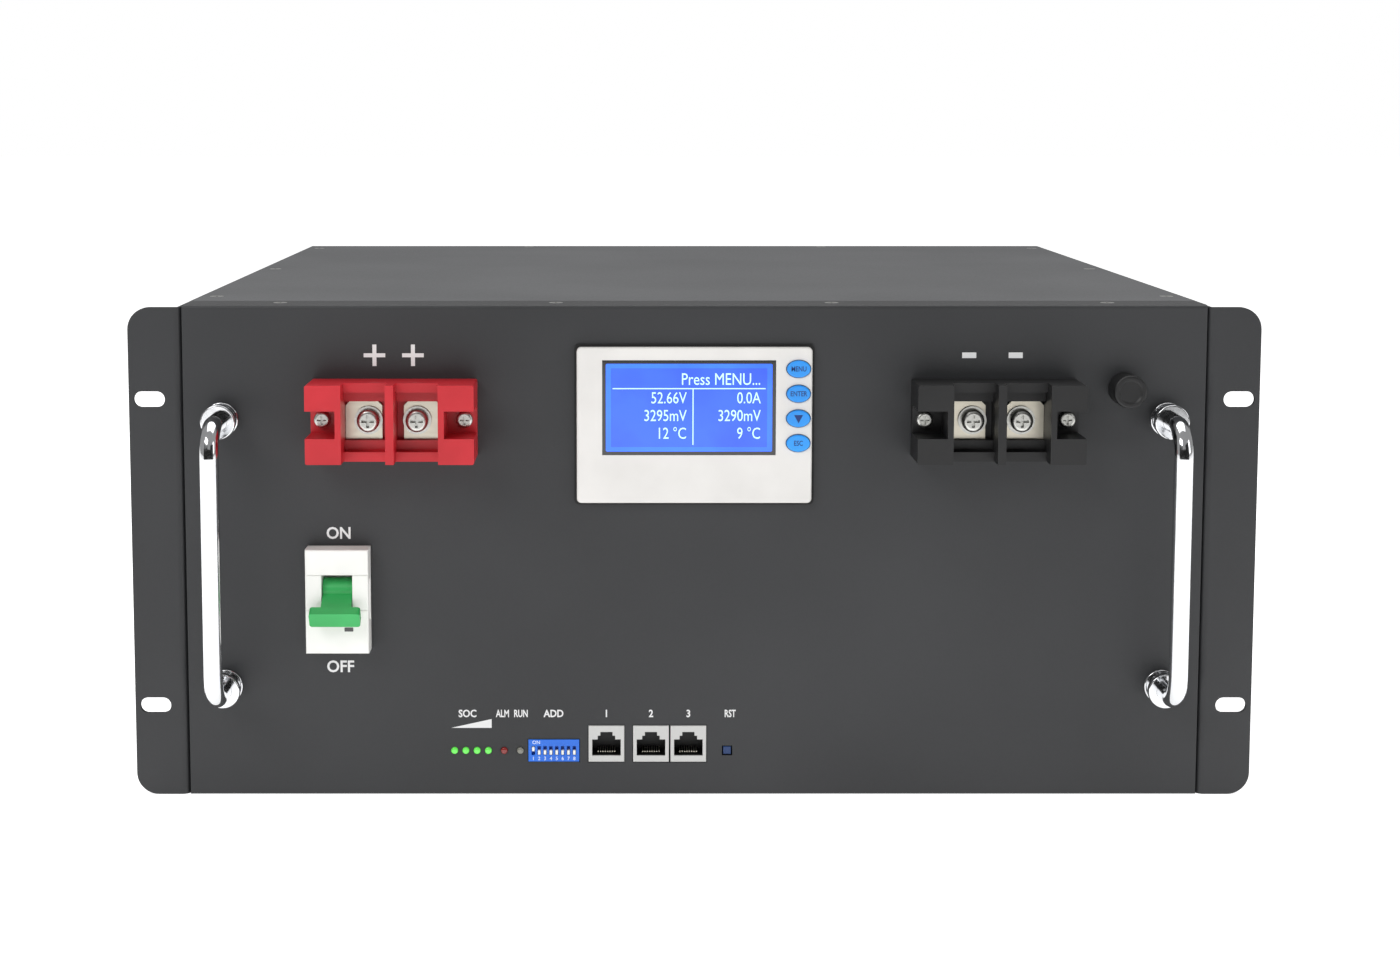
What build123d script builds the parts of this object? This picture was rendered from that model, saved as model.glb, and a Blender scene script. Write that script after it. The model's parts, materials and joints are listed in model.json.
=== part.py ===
"""Server rack battery: a 19 inch lithium iron phosphate module, 51.2 V class.

Millimetres, +Z up, the front faces -Y.  The origin is the centre of the case's underside.
"""
from build123d import *
from math import atan2, cos, degrees, hypot, radians, sin, tan
import os

# ---------------------------------------------------------------- driving dimensions
rack_width = 482.6            # over the two ears, EIA 19 inch
body_width = 436.5
body_height = 213.3
body_depth = 415.0

case_sheet = 1.5              # tray
panel_sheet = 2.0             # front panel and top cover
ear_sheet = 2.0
fold_radius = 1.2             # outside of the panel's folded edges
strip_depth = 20.0            # panel's folded-back top flange
lip_width = 15.0              # tray's inward lips under the cover
seam = 0.8                    # between flange and cover
play = 0.1                    # seated pieces, each side
running_gap = 0.3             # moving pieces, each side
sink_angle = 82.0             # countersunk screws

# ears
ear_height = body_height - 1.1
ear_leg = 52.0
ear_corner = 9.5
ear_bend = 3.5
slot_width, slot_height = 13.3, 6.8
slot_pitch_z = 133.35         # three rack units
slot_inset = 8.75             # slot centre from the ear's outer edge

# terminal blocks
block_x, block_z = 127.75, 165.0
block_width, block_height, block_proud = 70.5, 33.3, 25.0
block_floor = 6.0
block_end, block_divider = 15.0, 3.5
block_notch_w, block_notch_h = 12.5, 11.6
block_rail_outer, block_rail_inner, block_rail_step = 16.0, 11.0, 4.0
block_tail_w, block_tail_h, block_tail = 58.0, 22.0, 8.0
contact_w, contact_h, contact_t = 15.5, 16.4, 2.0
contact_offset = 10.3
stud_radius, stud_length = 5.0, 24.0
block_screw_offset = 30.2
contact_edge = 5.7            # screw to the plate's edge beside the divider

# breaker
breaker_x, breaker_z = -152.4, 86.9
breaker_w, breaker_h, breaker_proud = 27.0, 45.0, 9.8
breaker_body_h, breaker_body_depth, breaker_shoulder = 80.0, 60.0, 4.0
window_w, window_h, window_z = 13.3, 15.2, 90.8
window_floor = -6.0
toggle_pivot_proud = 2.0
toggle_bar_proud, toggle_drop = 17.0, 8.8
toggle_bar_w, toggle_bar_h, toggle_bar_t = 21.5, 7.3, 4.4
toggle_hub, toggle_stem_t, toggle_axle, toggle_axle_reach = 5.2, 3.4, 1.5, 2.0

# display
display_x, display_z = 0.0, 162.0
gasket_w, gasket_h, gasket_t = 102.3, 68.9, 1.0
bezel_w, bezel_h, bezel_t, bezel_corner = 100.2, 66.9, 3.0, 2.0
opening_w, opening_h = 99.2, 64.6
glass_x, glass_z = -2.3, 169.65
glass_w, glass_h, glass_t, glass_inset = 73.9, 40.7, 2.5, 0.3
key_x, key_top_z, key_pitch = 44.2, 186.3, 10.6
key_w, key_h, key_proud, key_travel = 10.1, 7.3, 1.2, 0.8
key_foot_w, key_foot_h, key_foot_t, key_stem_d = 6.0, 9.4, 1.0, 4.0
skirt_wall, skirt_depth = 1.2, 8.0
display_board_t = 1.6

# connection row
row_z = 19.4
board_back = 14.0             # interface board's face, behind the panel's front
board_t = 1.6
led_d, led_proud = 3.0, 1.2
soc_first_x, soc_pitch, soc_count = -103.4, 4.87, 4
alarm_x, run_x = -81.9, -74.9
switch_x, switch_w, switch_h, switch_proud = -60.4, 22.0, 9.7, 0.3
slider_count, slider_pitch = 8, 2.54
slider_w, slider_h, slider_throw, slider_proud, slider_depth = 1.1, 1.9, 1.5, 0.5, 2.5
slider_side, slider_end = 0.2, 0.3
socket_xs = (-37.6, -18.3, -2.1)
socket_z, socket_w, socket_h, socket_proud = 22.4, 15.5, 16.0, 0.3
plug_w, plug_h, plug_step_w, plug_step_top, plug_latch_w, plug_latch_top = 12.4, 7.2, 7.6, 8.85, 5.3, 10.5
plug_floor_z, plug_depth = 17.15, 11.0
contact_wire, contact_pitch, contact_count = 0.45, 1.02, 8
reset_x, reset_hole_w, reset_hole_h = 14.7, 4.5, 4.3
reset_w, reset_recess, reset_travel, reset_body = 3.5, 0.4, 0.6, 6.4

# handles and cap
handle_x, handle_low_z, handle_pitch, handle_reach = 201.6, 48.4, 116.0, 33.0
handle_d, handle_bend = 8.0, 12.0
collar_d, collar_neck_d, collar_length, collar_ring = 14.8, 12.4, 12.0, 3.4
cap_x, cap_z, cap_d, cap_proud, cap_thread_d, cap_nut_d = 183.5, 177.4, 14.1, 13.0, 10.0, 17.0

# cells
cell_x, cell_y, cell_z = 50.0, 160.0, 118.5
cells_across, cell_rows = 8, 2
cell_gap = 0.5
cell_pad = 2.0                # insulating mat under the cells
cell_rear_gap = 3.0
end_plate = 8.0
busbar_w, busbar_t, terminal_h = 20.0, 2.0, 3.0
bms_w, bms_d, bms_t, bms_lift = 300.0, 120.0, 2.0, 12.0

# ---------------------------------------------------------------- derived places
half_width = body_width / 2
half_depth = body_depth / 2
front_y = -half_depth
lid_z = body_height - panel_sheet
strip_rear_y = front_y + strip_depth
tray_front_y = front_y + panel_sheet
board_y = front_y + board_back
breaker_points = ((breaker_x, breaker_z),)
slot_x = rack_width / 2 - slot_inset
slot_zs = (ear_height / 2 - slot_pitch_z / 2, ear_height / 2 + slot_pitch_z / 2)
handle_feet = [(side * handle_x, z) for side in (-1, 1) for z in (handle_low_z, handle_low_z + handle_pitch)]
block_screw_points = [(side * block_x + end * block_screw_offset, block_z) for side in (-1, 1) for end in (-1, 1)]
contact_points = [(side * block_x + end * contact_offset, block_z) for side in (-1, 1) for end in (-1, 1)]
led_xs = [soc_first_x + soc_pitch * i for i in range(soc_count)]
key_zs = [key_top_z - key_pitch * i for i in range(4)]
slider_xs = [switch_x + slider_pitch * (i - (slider_count - 1) / 2) for i in range(slider_count)]
toggle_reach = hypot(toggle_bar_proud - toggle_pivot_proud, toggle_drop)
toggle_angle = degrees(atan2(toggle_drop, toggle_bar_proud - toggle_pivot_proud))
cells_width = cells_across * cell_x + (cells_across - 1) * cell_gap
cells_rear_y = half_depth - case_sheet - cell_rear_gap
cells_front_y = cells_rear_y - cell_rows * cell_y - (cell_rows - 1) * cell_gap
cells_bottom_z = case_sheet + cell_pad
cells_top_z = cells_bottom_z + cell_z
busbar_top_z = cells_top_z + terminal_h + busbar_t
bms_shelf_t = 3.0
bms_z = busbar_top_z + bms_shelf_t + bms_lift

os.makedirs("parts", exist_ok=True)


def front(proud=0.0):
    """Plane parallel to the front panel: sketch x is X, sketch y is Z, and its normal points at the user."""
    return Plane.XZ.offset(half_depth + proud)


def save(piece, name):
    piece.label = name
    export_step(piece, f"parts/{name}.step")


def sunk_head(head_d, shank_d):
    """Height of a countersunk head that fits the sinks cut for it."""
    return (head_d - shank_d) / 2 / tan(radians(sink_angle / 2))


def screw(head_d, head_h, shank_d, length, countersunk=False):
    """A cross-recess screw along +Z with the underside of its head, or its flush top, at z = 0."""
    head_low = -head_h if countersunk else 0
    with BuildPart() as body:
        Cylinder(shank_d / 2, length, align=(Align.CENTER, Align.CENTER, Align.MAX))
        if countersunk:
            with Locations((0, 0, head_low)):
                Cone(shank_d / 2, head_d / 2, head_h, align=(Align.CENTER, Align.CENTER, Align.MIN))
        else:
            Cylinder(head_d / 2, head_h, align=(Align.CENTER, Align.CENTER, Align.MIN))
            fillet(body.edges().filter_by(GeomType.CIRCLE).group_by(Axis.Z)[-1], head_h * 0.45)
        top = Plane.XY.offset(head_low + head_h)
        with BuildSketch(top):
            Rectangle(head_d * 0.56, head_d * 0.13)
            Rectangle(head_d * 0.13, head_d * 0.56)
        extrude(amount=-head_h * 0.6, mode=Mode.SUBTRACT)
    return body.part


# ---------------------------------------------------------------- case
with BuildPart() as chassis_tray:
    tray_length = half_depth - tray_front_y
    with BuildSketch(Plane.XY):
        with Locations((0, tray_front_y)):
            Rectangle(body_width, tray_length, align=(Align.CENTER, Align.MIN))
    extrude(amount=lid_z)
    with BuildSketch(Plane.XY.offset(case_sheet)):
        with Locations((0, tray_front_y)):
            Rectangle(body_width - 2 * case_sheet, tray_length - case_sheet, align=(Align.CENTER, Align.MIN))
    extrude(amount=lid_z, mode=Mode.SUBTRACT)
    with BuildSketch(Plane.XY.offset(lid_z - case_sheet)):
        with Locations((0, tray_front_y)):
            Rectangle(body_width - 2 * case_sheet, tray_length - case_sheet, align=(Align.CENTER, Align.MIN))
        with Locations((0, strip_rear_y)):
            Rectangle(body_width - 2 * lip_width, half_depth - lip_width - strip_rear_y,
                      align=(Align.CENTER, Align.MIN), mode=Mode.SUBTRACT)
    extrude(amount=case_sheet)
    fillet(chassis_tray.edges().filter_by(Axis.Z).group_by(Axis.Y)[-1], fold_radius)

strip_screw_xs = [side * x for side in (-1, 1) for x in (body_width * 0.1356, body_width * 0.4069)]
strip_screw_y = front_y + 11.0
strip_screw_points = [(x, strip_screw_y) for x in strip_screw_xs]
cover_screw_x = half_width - lip_width / 2
cover_screw_points = [(side * cover_screw_x, strip_rear_y + seam + (half_depth - strip_rear_y) * share)
                      for side in (-1, 1) for share in (0.06, 0.5, 0.94)]
cover_screw_points += [(side * body_width * 0.2, half_depth - lip_width / 2) for side in (-1, 1)]
lid_head_d, lid_shank_d, lid_screw_length = 6.0, 3.0, 5.0

with BuildPart() as front_panel:
    with BuildSketch(front()):
        with Locations((0, body_height / 2)):
            Rectangle(body_width, body_height)
    extrude(amount=-panel_sheet)
    with BuildSketch(Plane.XY.offset(body_height)):
        with Locations((0, front_y)):
            Rectangle(body_width, strip_depth, align=(Align.CENTER, Align.MIN))
    extrude(amount=-panel_sheet)
    fillet(front_panel.edges().filter_by(Axis.X).group_by(Axis.Y)[0].group_by(Axis.Z)[-1], fold_radius * 1.5)
    fillet(front_panel.faces().sort_by(Axis.Y)[0].edges(), fold_radius / 2)
    with BuildSketch(front()):
        with Locations((display_x, display_z)):
            Rectangle(opening_w, opening_h)
        with Locations(*breaker_points):
            Rectangle(breaker_w + 2 * running_gap, breaker_h + 2 * running_gap)
        with Locations((-block_x, block_z), (block_x, block_z)):
            Rectangle(block_tail_w + 2 * play, block_tail_h + 2 * play)
        with Locations(*block_screw_points):
            Circle(1.8)
        with Locations(*handle_feet):
            Circle(2.6)
        with Locations((cap_x, cap_z)):
            Circle(cap_thread_d / 2 + play)
        with Locations(*[(x, row_z) for x in led_xs + [alarm_x, run_x]]):
            Circle(led_d / 2 + play)
        with Locations((switch_x, row_z)):
            Rectangle(switch_w + 2 * running_gap, switch_h + 2 * running_gap)
        with Locations((socket_xs[0], socket_z)):
            Rectangle(socket_w + 2 * running_gap, socket_h + 2 * running_gap)
        with Locations(((socket_xs[1] + socket_xs[2]) / 2, socket_z)):
            Rectangle(socket_w + socket_xs[2] - socket_xs[1] + 2 * running_gap, socket_h + 2 * running_gap)
        with Locations((reset_x, row_z)):
            Rectangle(reset_hole_w, reset_hole_h)
    extrude(amount=-panel_sheet, mode=Mode.SUBTRACT)
    with Locations(*[(x, y, body_height) for x, y in strip_screw_points]):
        CounterSinkHole(lid_shank_d / 2 + play, lid_head_d / 2 + play, panel_sheet, sink_angle)

with BuildPart() as top_cover:
    with BuildSketch(Plane.XY.offset(lid_z)):
        with Locations((0, strip_rear_y + seam)):
            Rectangle(body_width, half_depth - strip_rear_y - seam, align=(Align.CENTER, Align.MIN))
    extrude(amount=panel_sheet)
    fillet(top_cover.edges().filter_by(Axis.Z).group_by(Axis.Y)[-1], fold_radius)
    fillet(top_cover.faces().sort_by(Axis.Z)[-1].edges(), fold_radius / 3)
    with Locations(*[(x, y, body_height) for x, y in cover_screw_points]):
        CounterSinkHole(lid_shank_d / 2 + play, lid_head_d / 2 + play, panel_sheet, sink_angle)

# ---------------------------------------------------------------- ears
ear_screw_points = [(y, z) for y in (front_y + 18.0, front_y + 40.0) for z in (ear_height * 0.2, ear_height * 0.8)]
ear_head_d, ear_shank_d, ear_screw_length = 6.0, 3.4, 6.0
ear_face_x = half_width + ear_sheet

with BuildPart() as rack_ear_right:
    with BuildSketch(Plane.XY):
        with BuildLine():
            Polyline((half_width, front_y), (rack_width / 2, front_y), (rack_width / 2, front_y + ear_sheet),
                     (ear_face_x, front_y + ear_sheet), (ear_face_x, front_y + ear_leg),
                     (half_width, front_y + ear_leg), close=True)
        make_face()
    extrude(amount=ear_height)
    fillet(rack_ear_right.edges().filter_by(Axis.Z).group_by(Axis.Y)[0].sort_by(Axis.X)[0], ear_bend)
    fillet(rack_ear_right.edges().filter_by(Axis.Y).group_by(Axis.X)[-1], ear_corner)
    with BuildSketch(front()):
        with Locations(*[(slot_x, z) for z in slot_zs]):
            SlotOverall(slot_width, slot_height)
    extrude(amount=-ear_sheet, mode=Mode.SUBTRACT)
    with Locations(*[Plane((ear_face_x, y, z), x_dir=(0, 1, 0), z_dir=(1, 0, 0)) for y, z in ear_screw_points]):
        CounterSinkHole(ear_shank_d / 2 + play, ear_head_d / 2 + play, ear_sheet, sink_angle)

with BuildPart() as rack_ear_left:
    add(rack_ear_right.part)
    mirror(about=Plane.YZ, mode=Mode.REPLACE)

ear_screw = screw(ear_head_d, sunk_head(ear_head_d, ear_shank_d), ear_shank_d, ear_screw_length, countersunk=True)
with BuildPart() as ear_screws:
    with Locations(*[Plane((ear_face_x, y, z), x_dir=(0, 1, 0), z_dir=(1, 0, 0)) for y, z in ear_screw_points]):
        add(ear_screw)
    mirror(about=Plane.YZ)

with BuildPart() as tray_drilled:
    add(chassis_tray.part)
    with Locations(*[(x, y, lid_z) for x, y in strip_screw_points + cover_screw_points]):
        Hole(lid_shank_d / 2 + play, 2 * case_sheet)
    for side in (-1, 1):
        with Locations(*[Plane((side * half_width, y, z), x_dir=(0, 1, 0), z_dir=(side, 0, 0))
                         for y, z in ear_screw_points]):
            Hole(ear_shank_d / 2 + play, 2 * case_sheet)

lid_screw = screw(lid_head_d, sunk_head(lid_head_d, lid_shank_d), lid_shank_d, lid_screw_length, countersunk=True)
with BuildPart(Plane.XY.offset(body_height)) as cover_screws:
    with Locations(*strip_screw_points + cover_screw_points):
        add(lid_screw)

for piece, name in ((tray_drilled, "chassis_tray"), (front_panel, "front_panel"), (top_cover, "top_cover"),
                    (rack_ear_left, "rack_ear_left"), (rack_ear_right, "rack_ear_right"),
                    (ear_screws, "ear_screws"), (cover_screws, "cover_screws")):
    save(piece.part, name)


# ---------------------------------------------------------------- handles
def handle(side, name):
    low, high = handle_low_z, handle_low_z + handle_pitch
    out = front_y - handle_reach
    with BuildPart() as bow:
        with BuildLine(Plane.YZ.offset(side * handle_x)) as spine:
            FilletPolyline((front_y, low), (out, low), (out, high), (front_y, high), radius=handle_bend)
        with BuildSketch(Plane(spine.line @ 0, z_dir=spine.line % 0)):
            Circle(handle_d / 2)
        sweep()
        with Locations(*[Plane((side * handle_x, front_y, z), z_dir=(0, 1, 0)) for z in (low, high)]):
            Hole(2.5, 14.0)
    save(bow.part, name)


handle(-1, "handle_left")
handle(1, "handle_right")

with BuildPart() as collar:
    with BuildSketch(Plane.XZ):
        with BuildLine():
            bore, neck, rim = handle_d / 2 + play / 2, collar_neck_d / 2, collar_d / 2
            Polyline((bore, 0), (rim, 0), (rim, collar_ring), (neck, collar_ring), (neck, collar_length - collar_ring),
                     (rim, collar_length - collar_ring), (rim, collar_length), (bore, collar_length), close=True)
        make_face()
    revolve(axis=Axis.Z)
    fillet(collar.edges().filter_by(GeomType.CIRCLE).group_by(SortBy.RADIUS)[-1], 0.6)
with BuildPart(front()) as handle_collars:
    with Locations(*handle_feet):
        add(collar.part)
save(handle_collars.part, "handle_collars")

handle_screw = screw(9.0, 3.0, 4.9, 13.0)
with BuildPart() as handle_screws:
    with Locations(*[Plane((x, tray_front_y, z), z_dir=(0, 1, 0)) for x, z in handle_feet]):
        add(handle_screw)
save(handle_screws.part, "handle_screws")

# ---------------------------------------------------------------- blanking cap
with BuildPart(front()) as vent_cap:
    with Locations((cap_x, cap_z)):
        Cylinder(cap_d / 2, cap_proud, align=(Align.CENTER, Align.CENTER, Align.MIN))
        Cylinder(cap_thread_d / 2, 12.0, align=(Align.CENTER, Align.CENTER, Align.MAX))
    fillet(vent_cap.edges().filter_by(GeomType.CIRCLE).group_by(Axis.Y)[0], 1.0)
    with Locations((cap_x, cap_z, cap_proud)):
        Cone(cap_d / 2 - 2.6, cap_d / 2 - 1.8, 0.6, align=(Align.CENTER, Align.CENTER, Align.MAX), mode=Mode.SUBTRACT)
save(vent_cap.part, "vent_cap")

with BuildPart() as vent_nut:
    with BuildSketch(front(-panel_sheet)):
        with Locations((cap_x, cap_z)):
            RegularPolygon(cap_nut_d / 2, 6)
            Circle(cap_thread_d / 2 + play / 2, mode=Mode.SUBTRACT)
    extrude(amount=-4.0)
save(vent_nut.part, "vent_nut")


# ---------------------------------------------------------------- terminal blocks
def terminal_block(x, name):
    rail_low = contact_h / 2 + play
    rail_wide = block_width - 2 * block_end
    with BuildPart() as block:
        with BuildSketch(front()):
            with Locations((x, block_z)):
                Rectangle(block_width, block_height)
        extrude(amount=block_floor)
        with BuildSketch(front()):
            with Locations((x - (block_width - block_end) / 2, block_z), (x + (block_width - block_end) / 2, block_z)):
                Rectangle(block_end, block_height)
            with Locations((x, block_z)):
                Rectangle(block_divider, block_height)
        extrude(amount=block_proud)
        for height, outer in ((block_rail_outer, 0.0), (block_rail_inner, block_rail_step)):
            with BuildSketch(front()):
                with Locations((x, block_z)):
                    Rectangle(rail_wide, block_height - 2 * outer)
                    Rectangle(rail_wide, 2 * (rail_low if outer else block_height / 2 - block_rail_step),
                              mode=Mode.SUBTRACT)
            extrude(amount=height)
        with BuildSketch(front()):
            with Locations((x, block_z)):
                Rectangle(block_tail_w, block_tail_h)
        extrude(amount=-block_tail)
        with BuildSketch(front(block_floor)):
            for end in (-1, 1):
                with Locations((x + end * (block_width - block_notch_w) / 2, block_z)):
                    Rectangle(block_notch_w, block_notch_h)
        extrude(amount=block_proud, mode=Mode.SUBTRACT)
        fillet(block.edges().filter_by(Axis.Y).group_by(SortBy.LENGTH)[-1], 0.8)
        with Locations(*[front().location * Location((x + end * contact_offset, block_z, block_floor))
                         for end in (-1, 1)]):
            Hole(stud_radius + play, block_floor + block_tail)
        with Locations(*[front().location * Location((x + end * block_screw_offset, block_z, block_floor))
                         for end in (-1, 1)]):
            Hole(1.8, block_floor + block_tail)
    save(block.part, name)


def contacts(side, name):
    with BuildPart() as plates:
        for end in (-1, 1):
            x = side * block_x + end * contact_offset
            outward = x + end * (contact_w / 2 - contact_edge)
            with BuildSketch(front(block_floor)):
                with Locations((outward, block_z)):
                    Rectangle(contact_w, contact_h)
            extrude(amount=contact_t)
            with BuildSketch(front(block_floor)):
                with Locations((x, block_z)):
                    Circle(stud_radius)
            extrude(amount=-stud_length)
        chamfer(plates.edges().filter_by(Axis.Y).group_by(SortBy.LENGTH)[0].group_by(Axis.Z)[-1], 2.0)
        with Locations(*[front().location * Location((side * block_x + end * contact_offset, block_z,
                                                      block_floor + contact_t)) for end in (-1, 1)]):
            Hole(2.5, 14.0)
    save(plates.part, name)


terminal_block(-block_x, "positive_block")
terminal_block(block_x, "negative_block")
contacts(-1, "positive_contacts")
contacts(1, "negative_contacts")

washer_t, washer_d = 1.2, 12.0
with BuildPart(front(block_floor + contact_t)) as terminal_washers:
    with Locations(*contact_points):
        Cylinder(washer_d / 2, washer_t, align=(Align.CENTER, Align.CENTER, Align.MIN))
        Cylinder(2.6, washer_t, align=(Align.CENTER, Align.CENTER, Align.MIN), mode=Mode.SUBTRACT)
terminal_screw = screw(9.6, 3.6, 4.9, 11.0)
with BuildPart(front(block_floor + contact_t + washer_t)) as terminal_screws:
    with Locations(*contact_points):
        add(terminal_screw)
block_screw = screw(6.9, 2.4, 3.4, 13.0)
with BuildPart(front(block_floor)) as block_screws:
    with Locations(*block_screw_points):
        add(block_screw)
for piece, name in ((terminal_washers, "terminal_washers"), (terminal_screws, "terminal_screws"),
                    (block_screws, "block_screws")):
    save(piece.part, name)

# ---------------------------------------------------------------- breaker
pivot = Vector(breaker_x, front_y - toggle_pivot_proud, window_z)
toggle_dir = Vector(0, -cos(radians(toggle_angle)), -sin(radians(toggle_angle)))
axle_half = window_w / 2 + toggle_axle_reach

with BuildPart() as breaker_housing:
    with BuildSketch(front(breaker_proud)):
        with Locations(*breaker_points):
            Rectangle(breaker_w, breaker_h)
    extrude(amount=-(breaker_proud + breaker_shoulder))
    fillet(breaker_housing.faces().sort_by(Axis.Y)[0].edges(), 0.8)
    with BuildSketch(front(-breaker_shoulder)):
        with Locations(*breaker_points):
            Rectangle(breaker_w, breaker_body_h)
    extrude(amount=-breaker_body_depth)
    with BuildSketch(front(breaker_proud)):
        with Locations((breaker_x, window_z)):
            Rectangle(window_w, window_h)
    extrude(amount=window_floor - breaker_proud, mode=Mode.SUBTRACT)
    with BuildSketch(front(breaker_proud)):
        for end in (-1, 1):
            with Locations((breaker_x, window_z + end * window_h / 2)):
                Rectangle(breaker_w, 0.5)
    extrude(amount=-0.4, mode=Mode.SUBTRACT)
    with Locations(Plane(pivot, z_dir=(1, 0, 0))):
        Cylinder(toggle_axle + play, 2 * (axle_half + play), mode=Mode.SUBTRACT)
    with Locations((breaker_x + breaker_w / 2 + 2.5, front_y - breaker_proud / 2, breaker_z)):
        Cylinder(4.0, breaker_h * 0.4, mode=Mode.SUBTRACT)
save(breaker_housing.part, "breaker_housing")

with BuildPart() as breaker_toggle:
    with Locations(Plane(pivot, z_dir=(1, 0, 0))):
        Cylinder(toggle_hub, window_w - 2 * running_gap)
        Cylinder(toggle_axle, 2 * axle_half - play)
    with BuildSketch(Plane(pivot, x_dir=(1, 0, 0), z_dir=toggle_dir)):
        Rectangle(window_w - 2 * running_gap, toggle_stem_t)
    extrude(amount=toggle_reach)
    bar_plane = Plane(pivot + toggle_dir * (toggle_reach - toggle_bar_t / 2), x_dir=(1, 0, 0), z_dir=toggle_dir)
    with BuildSketch(bar_plane):
        RectangleRounded(toggle_bar_w, toggle_bar_h, 1.2)
    extrude(amount=toggle_bar_t)
save(breaker_toggle.part, "breaker_toggle")

rail_t, rail_h = 2.0, 35.0
rail_y = front_y + breaker_shoulder + breaker_body_depth
with BuildPart() as breaker_rail:
    with BuildSketch(Plane.XY.offset(case_sheet)):
        with Locations((breaker_x, rail_y)):
            Rectangle(breaker_w + 20, rail_t, align=(Align.CENTER, Align.MIN))
            Rectangle(breaker_w + 20, 14.0, align=(Align.CENTER, Align.MIN))
    extrude(amount=rail_t)
    with BuildSketch(Plane.XY.offset(case_sheet)):
        with Locations((breaker_x, rail_y)):
            Rectangle(breaker_w + 20, rail_t, align=(Align.CENTER, Align.MIN))
    extrude(amount=breaker_z + rail_h / 2)
save(breaker_rail.part, "breaker_rail")

# ---------------------------------------------------------------- display
bezel_face = gasket_t + bezel_t
key_points = [(key_x, z) for z in key_zs]
key_slot_w, key_slot_h = key_w + 2 * running_gap, key_h + 2 * running_gap

with BuildPart() as display_gasket:
    with BuildSketch(front()):
        with Locations((display_x, display_z)):
            RectangleRounded(gasket_w, gasket_h, bezel_corner)
            Rectangle(opening_w, opening_h, mode=Mode.SUBTRACT)
    extrude(amount=gasket_t)

with BuildPart() as display_bezel:
    with BuildSketch(front(gasket_t)):
        with Locations((display_x, display_z)):
            RectangleRounded(bezel_w, bezel_h, bezel_corner)
    extrude(amount=bezel_t)
    fillet(display_bezel.faces().sort_by(Axis.Y)[0].edges(), 1.0)
    with BuildSketch(front(gasket_t)):
        with Locations((display_x, display_z)):
            Rectangle(opening_w - 2 * play, opening_h - 2 * play)
        with Locations((display_x + skirt_wall, display_z)):
            Rectangle(opening_w - 2 * play, opening_h - 2 * play - 2 * skirt_wall, mode=Mode.SUBTRACT)
    extrude(amount=-(gasket_t + skirt_depth))
    with BuildSketch(front(bezel_face)):
        with Locations((glass_x, glass_z)):
            Rectangle(glass_w, glass_h)
        with Locations(*key_points):
            Ellipse(key_slot_w / 2, key_slot_h / 2)
    extrude(amount=-bezel_t, mode=Mode.SUBTRACT)

with BuildPart() as display_glass:
    with BuildSketch(front(bezel_face - glass_inset)):
        with Locations((glass_x, glass_z)):
            Rectangle(glass_w - 2 * play, glass_h - 2 * play)
    extrude(amount=-glass_t)

module_proud = bezel_face - glass_inset - glass_t
with BuildPart() as display_module:
    with BuildSketch(front(module_proud)):
        with Locations((glass_x, glass_z)):
            Rectangle(glass_w - 2.0, glass_h - 2.0)
    extrude(amount=-(module_proud + skirt_depth))

key_tail = 1.5
with BuildPart() as display_board:
    with BuildSketch(front(-skirt_depth)):
        with Locations((display_x, display_z)):
            Rectangle(opening_w - 2 * play, opening_h - 2 * play)
    extrude(amount=-display_board_t)
    with BuildSketch(front(-skirt_depth)):
        with Locations(*key_points):
            Rectangle(6.0, 6.0)
    extrude(amount=skirt_depth - key_tail - key_travel - play)

for piece, name in ((display_gasket, "display_gasket"), (display_bezel, "display_bezel"),
                    (display_glass, "display_glass"), (display_module, "display_module"),
                    (display_board, "display_board")):
    save(piece.part, name)


def key(z, name):
    with BuildPart() as cap:
        with BuildSketch(front(bezel_face + key_proud)):
            with Locations((key_x, z)):
                Ellipse(key_w / 2, key_h / 2)
        extrude(amount=-(bezel_face + key_proud - gasket_t - play))
        fillet(cap.faces().sort_by(Axis.Y)[0].edges(), 0.6)
        with BuildSketch(front(gasket_t - play)):
            with Locations((key_x, z)):
                Rectangle(key_foot_w, key_foot_h)
        extrude(amount=-key_foot_t)
        with BuildSketch(front(gasket_t + play)):
            with Locations((key_x, z)):
                Circle(key_stem_d / 2)
        extrude(amount=-(gasket_t + play + key_tail))
    save(cap.part, name)


for z, name in zip(key_zs, ("key_menu", "key_enter", "key_down", "key_escape")):
    key(z, name)


# ---------------------------------------------------------------- connection row
def leds(xs, name):
    with BuildPart(front()) as lamps:
        with Locations(*[(x, row_z, led_proud) for x in xs]):
            Cylinder(led_d / 2, led_proud + board_back, align=(Align.CENTER, Align.CENTER, Align.MAX))
        fillet(lamps.edges().filter_by(GeomType.CIRCLE).group_by(Axis.Y)[0], led_d * 0.35)
    save(lamps.part, name)


leds(led_xs, "soc_leds")
leds([alarm_x], "alarm_led")
leds([run_x], "run_led")

slot_h = slider_h + slider_throw + 2 * slider_end
with BuildPart() as switch_body:
    with BuildSketch(front(switch_proud)):
        with Locations((switch_x, row_z)):
            Rectangle(switch_w, switch_h)
    extrude(amount=-(switch_proud + board_back))
    with BuildSketch(front(switch_proud)):
        with Locations(*[(x, row_z) for x in slider_xs]):
            Rectangle(slider_w + 2 * slider_side, slot_h)
    extrude(amount=-slider_depth, mode=Mode.SUBTRACT)
save(switch_body.part, "switch_body")

for index, x in enumerate(slider_xs):
    rest_z = row_z + (slider_throw / 2 if index == 0 else -slider_throw / 2)
    with BuildPart() as slider:
        with BuildSketch(front(switch_proud + slider_proud)):
            with Locations((x, rest_z)):
                Rectangle(slider_w, slider_h)
        extrude(amount=-(slider_proud + slider_depth - slider_side))
        fillet(slider.faces().sort_by(Axis.Y)[0].edges(), 0.2)
    save(slider.part, f"slider_{index + 1}")


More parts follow.
